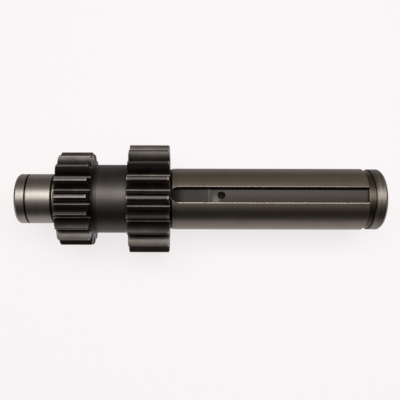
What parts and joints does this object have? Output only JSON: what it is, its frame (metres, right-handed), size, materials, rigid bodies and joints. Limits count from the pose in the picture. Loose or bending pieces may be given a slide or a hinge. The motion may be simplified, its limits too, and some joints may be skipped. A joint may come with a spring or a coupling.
{
  "type": "transmission countershaft",
  "caption": "Steel transmission countershaft with two integral spur gears, a long keyway with a pin hole, ring grooves near both ends and ground bearing and gear seats.",
  "frame": {"origin": "on the shaft's axis, in the middle of the rear bearing that the seat carries", "axes": "+X along the axis from the rear end to the front end; +Z out of the keyway, square to its floor"},
  "size_m": [0.3987, 0.1198, 0.1198],
  "materials": {
    "steel": "ground bearing and gear seats, darker satin gear teeth and neck"
  },
  "bodies": {
    "root": {"countershaft": "steel"}
  },
  "joints": []
}
